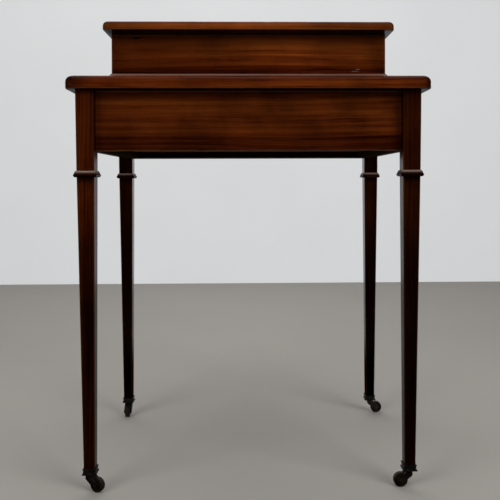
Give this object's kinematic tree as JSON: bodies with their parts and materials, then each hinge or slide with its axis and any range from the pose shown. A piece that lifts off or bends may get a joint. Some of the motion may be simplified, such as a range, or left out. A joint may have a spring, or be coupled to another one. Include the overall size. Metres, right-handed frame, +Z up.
{
  "type": "bonheur du jour writing desk",
  "caption": "Small mahogany writing desk on square tapered legs with collars and brass castors, with a frieze drawer and a low superstructure of drawers along its back.",
  "frame": {"origin": "on the floor, under the middle of the writing top", "axes": "+Z up, -Y towards the person who sits at the drawer side, +X to that person's right"},
  "size_m": [0.6306, 0.482, 0.8165],
  "materials": {
    "mahogany": "dark french polished mahogany with straight grain",
    "drawer_lining": "plain unpolished oak",
    "leather": "dark green writing leather with a tooled border",
    "brass": "old brass, darkened",
    "screw_steel": "plain steel"
  },
  "bodies": {
    "carcass": {"back_apron": "mahogany", "castor_cup_back_left": "brass", "castor_cup_back_right": "brass", "castor_cup_front_left": "brass", "castor_cup_front_right": "brass", "drawer_guides": "drawer_lining", "drawer_kickers": "drawer_lining", "drawer_runners": "drawer_lining", "drawer_stops": "drawer_lining", "front_bottom_rail": "mahogany", "front_top_rail": "mahogany", "left_apron": "mahogany", "leg_back_left": "mahogany", "leg_back_right": "mahogany", "leg_collars": "mahogany", "leg_front_left": "mahogany", "leg_front_right": "mahogany", "right_apron": "mahogany", "top_screws": "screw_steel", "upper_back": "mahogany", "upper_base_moulding": "mahogany", "upper_floor": "mahogany", "upper_left_partition": "mahogany", "upper_left_side": "mahogany", "upper_right_partition": "mahogany", "upper_right_side": "mahogany", "upper_screws": "screw_steel", "upper_top": "mahogany", "writing_leather": "leather", "writing_top": "mahogany"},
    "frieze_drawer": {"frieze_drawer_back": "drawer_lining", "frieze_drawer_bottom": "drawer_lining", "frieze_drawer_front": "mahogany", "frieze_drawer_knobs": "brass", "frieze_drawer_left_side": "drawer_lining", "frieze_drawer_right_side": "drawer_lining"},
    "left_drawer": {"left_drawer_bottom": "drawer_lining", "left_drawer_front": "mahogany", "left_drawer_knob": "brass", "left_drawer_walls": "drawer_lining"},
    "middle_drawer": {"middle_drawer_bottom": "drawer_lining", "middle_drawer_front": "mahogany", "middle_drawer_knob": "brass", "middle_drawer_walls": "drawer_lining"},
    "right_drawer": {"right_drawer_bottom": "drawer_lining", "right_drawer_front": "mahogany", "right_drawer_knob": "brass", "right_drawer_walls": "drawer_lining"},
    "castor_front_left": {"castor_horn_front_left": "brass", "castor_axle_front_left": "brass"},
    "wheel_front_left": {"castor_wheel_front_left": "brass"},
    "castor_front_right": {"castor_horn_front_right": "brass", "castor_axle_front_right": "brass"},
    "wheel_front_right": {"castor_wheel_front_right": "brass"},
    "castor_back_left": {"castor_horn_back_left": "brass", "castor_axle_back_left": "brass"},
    "wheel_back_left": {"castor_wheel_back_left": "brass"},
    "castor_back_right": {"castor_horn_back_right": "brass", "castor_axle_back_right": "brass"},
    "wheel_back_right": {"castor_wheel_back_right": "brass"}
  },
  "joints": [
    {"name": "frieze_drawer_slide", "type": "slide", "parent": "carcass", "child": "frieze_drawer", "axis": [0, -1, 0], "range_m": [0, 0.3]},
    {"name": "left_drawer_slide", "type": "slide", "parent": "carcass", "child": "left_drawer", "axis": [0, -1, 0], "range_m": [0, 0.09]},
    {"name": "middle_drawer_slide", "type": "slide", "parent": "carcass", "child": "middle_drawer", "axis": [0, -1, 0], "range_m": [0, 0.09]},
    {"name": "right_drawer_slide", "type": "slide", "parent": "carcass", "child": "right_drawer", "axis": [0, -1, 0], "range_m": [0, 0.09]},
    {"name": "castor_swivel_front_left", "type": "hinge", "parent": "carcass", "child": "castor_front_left", "pos_m": [-0.28045, -0.2042, 0.03], "axis": [0, 0, 1], "continuous": true},
    {"name": "wheel_roll_front_left", "type": "hinge", "parent": "castor_front_left", "child": "wheel_front_left", "pos_m": [-0.29545, -0.2042, 0.0125], "axis": [0, -1, 0], "continuous": true},
    {"name": "castor_swivel_front_right", "type": "hinge", "parent": "carcass", "child": "castor_front_right", "pos_m": [0.28045, -0.2042, 0.03], "axis": [0, 0, 1], "continuous": true},
    {"name": "wheel_roll_front_right", "type": "hinge", "parent": "castor_front_right", "child": "wheel_front_right", "pos_m": [0.28045, -0.1892, 0.0125], "axis": [-1, 0, 0], "continuous": true},
    {"name": "castor_swivel_back_left", "type": "hinge", "parent": "carcass", "child": "castor_back_left", "pos_m": [-0.28045, 0.2042, 0.03], "axis": [0, 0, 1], "continuous": true},
    {"name": "wheel_roll_back_left", "type": "hinge", "parent": "castor_back_left", "child": "wheel_back_left", "pos_m": [-0.26545, 0.2042, 0.0125], "axis": [0, 1, 0], "continuous": true},
    {"name": "castor_swivel_back_right", "type": "hinge", "parent": "carcass", "child": "castor_back_right", "pos_m": [0.28045, 0.2042, 0.03], "axis": [0, 0, 1], "continuous": true},
    {"name": "wheel_roll_back_right", "type": "hinge", "parent": "castor_back_right", "child": "wheel_back_right", "pos_m": [0.26686, 0.21054, 0.0125], "axis": [-0.4226, -0.9063, 0], "continuous": true}
  ]
}
